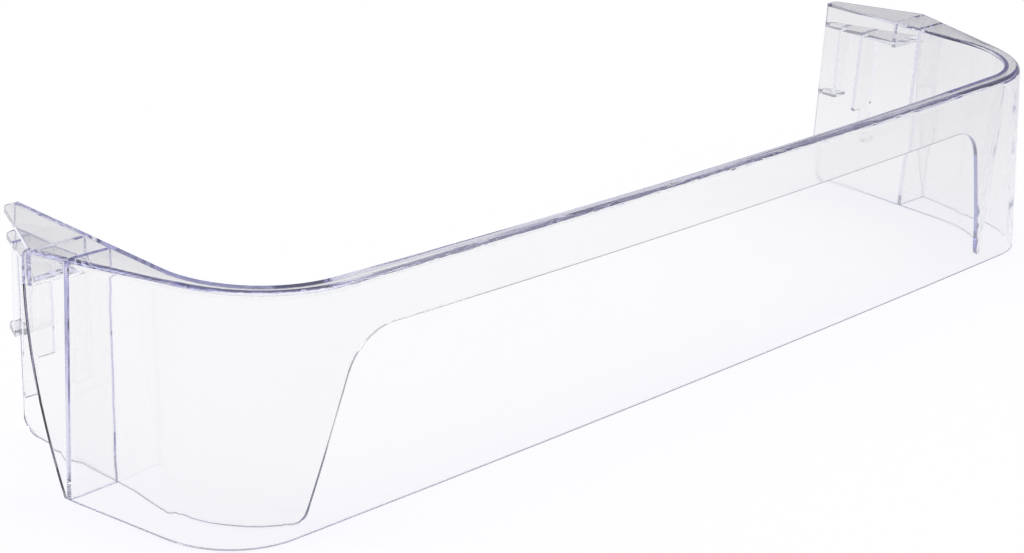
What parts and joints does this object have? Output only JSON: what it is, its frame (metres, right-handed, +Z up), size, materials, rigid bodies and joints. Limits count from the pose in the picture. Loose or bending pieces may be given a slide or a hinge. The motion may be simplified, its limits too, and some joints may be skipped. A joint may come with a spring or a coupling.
{
  "type": "fridge door shelf",
  "caption": "Clear moulded fridge door guard shelf: double end walls with ribbed hanging ears, a bowed front wall and a wide inner window, open below and at the back.",
  "frame": {"origin": "centre of the overall box at the level of the bottom edges", "axes": "+X along the length to the shelf's right seen from the room, +Y back towards the door, +Z up"},
  "size_m": [0.4904, 0.1244, 0.0839],
  "materials": {
    "clear_polystyrene": "clear injection-moulded polystyrene with a faint violet tint, polished"
  },
  "bodies": {
    "root": {"door_shelf": "clear_polystyrene"}
  },
  "joints": []
}
